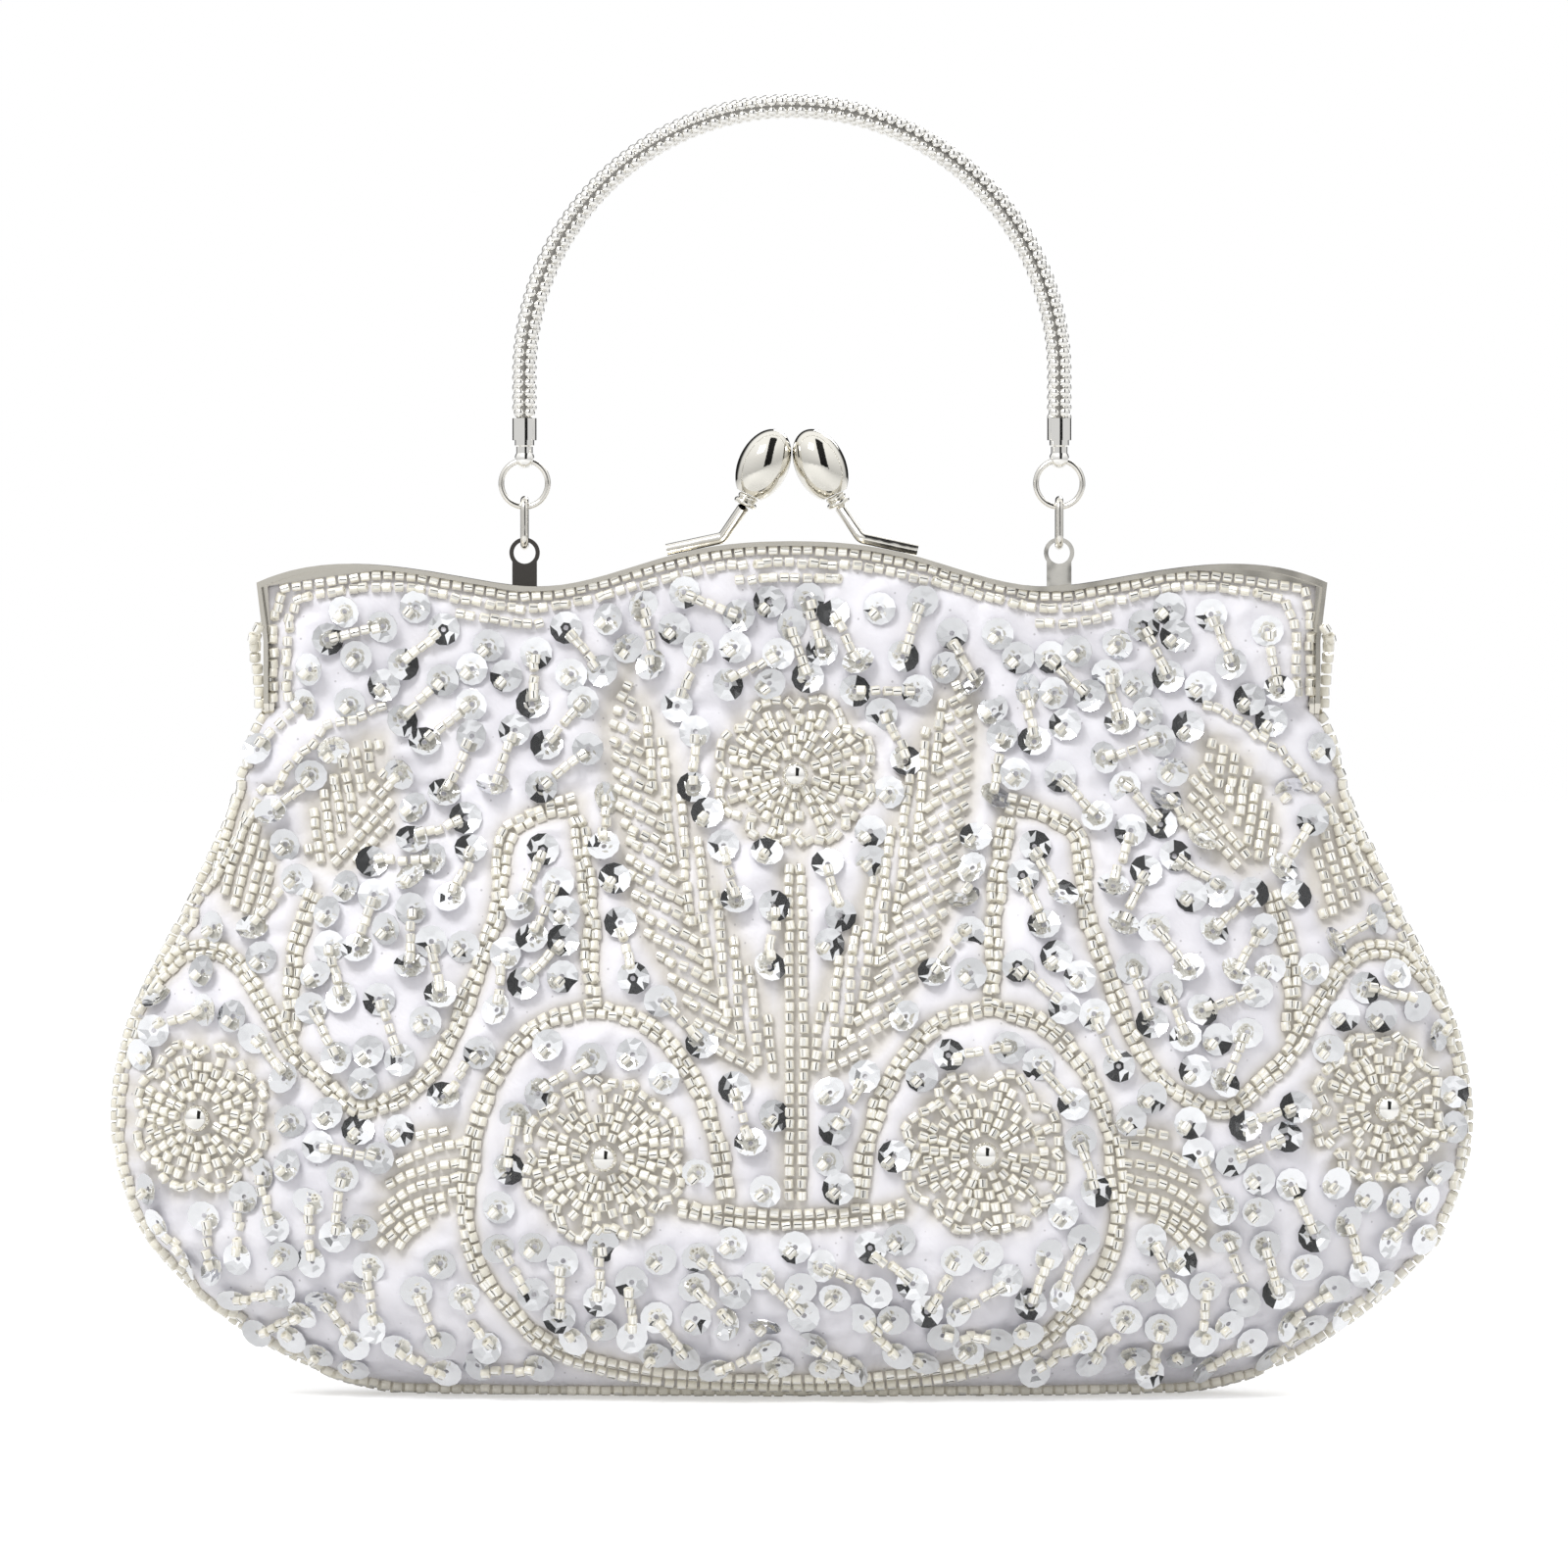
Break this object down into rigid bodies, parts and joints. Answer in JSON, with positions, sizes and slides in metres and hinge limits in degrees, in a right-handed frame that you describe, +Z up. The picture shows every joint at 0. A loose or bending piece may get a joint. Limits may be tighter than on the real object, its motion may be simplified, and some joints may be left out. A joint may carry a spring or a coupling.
{
  "type": "beaded evening bag",
  "caption": "Soft rounded evening bag with a curved kiss-lock frame, arched snake-chain handle and beaded, sequined floral panels.",
  "frame": {"origin": "middle of the flat base the bag stands on", "axes": "+X to the right seen from the front, +Y towards the back, +Z up to the handle"},
  "size_m": [0.2604, 0.0668, 0.2482],
  "materials": {
    "frame_metal": "polished nickel plate",
    "clasp_metal": "polished nickel plate",
    "handle_metal": "polished nickel plate",
    "stud_metal": "bright polished",
    "core_wire": "drawn spring wire",
    "beads": "silver-lined clear glass",
    "satin": "pale lavender-white satin",
    "padding": "polyester wadding",
    "lining": "smooth lining satin"
  },
  "bodies": {
    "pouch": {"front_beadwork": "beads", "back_beadwork": "beads", "front_flower_studs": "stud_metal", "back_flower_studs": "stud_metal", "front_satin_panel": "satin", "back_satin_panel": "satin", "front_padding": "padding", "back_padding": "padding", "front_lining": "lining", "back_lining": "lining", "left_hinge_rivet": "frame_metal", "right_hinge_rivet": "frame_metal"},
    "front_frame": {"front_frame": "frame_metal", "front_flap_beadwork": "beads", "front_flap_satin": "satin", "front_flap_lining": "lining", "right_clasp_post": "clasp_metal", "right_clasp_collar": "clasp_metal", "right_clasp_ball": "clasp_metal"},
    "back_frame": {"back_frame": "frame_metal", "back_flap_beadwork": "beads", "back_flap_satin": "satin", "back_flap_lining": "lining", "left_clasp_post": "clasp_metal", "left_clasp_collar": "clasp_metal", "left_clasp_ball": "clasp_metal", "left_handle_tab": "handle_metal", "right_handle_tab": "handle_metal"},
    "handle_links": {"left_oval_link": "handle_metal", "right_oval_link": "handle_metal"},
    "handle_rings": {"left_jump_ring": "handle_metal", "right_jump_ring": "handle_metal"},
    "handle": {"left_end_cap": "handle_metal", "right_end_cap": "handle_metal", "handle_chain": "handle_metal", "handle_core": "core_wire"}
  },
  "joints": [
    {"name": "front_frame_hinge", "type": "hinge", "parent": "pouch", "child": "front_frame", "pos_m": [0, 0, 0.132], "axis": [1, 0, 0], "range_deg": [0, 45]},
    {"name": "back_frame_hinge", "type": "hinge", "parent": "pouch", "child": "back_frame", "pos_m": [0, 0, 0.132], "axis": [1, 0, 0], "range_deg": [-45, 0]},
    {"name": "link_pivot", "type": "hinge", "parent": "back_frame", "child": "handle_links", "pos_m": [-0.0511, 0.00155, 0.16395], "axis": [1, 0, 0], "range_deg": [-35, 35]},
    {"name": "ring_pivot", "type": "hinge", "parent": "handle_links", "child": "handle_rings", "pos_m": [-0.0511, 0.00155, 0.16945], "axis": [1, 0, 0], "range_deg": [-40, 40]},
    {"name": "handle_pivot", "type": "hinge", "parent": "handle_rings", "child": "handle", "pos_m": [-0.0511, 0.00155, 0.17815], "axis": [1, 0, 0], "range_deg": [-50, 60]}
  ],
  "couplings": [
    {"joint": "back_frame_hinge", "follows": "front_frame_hinge", "ratio": -1}
  ]
}
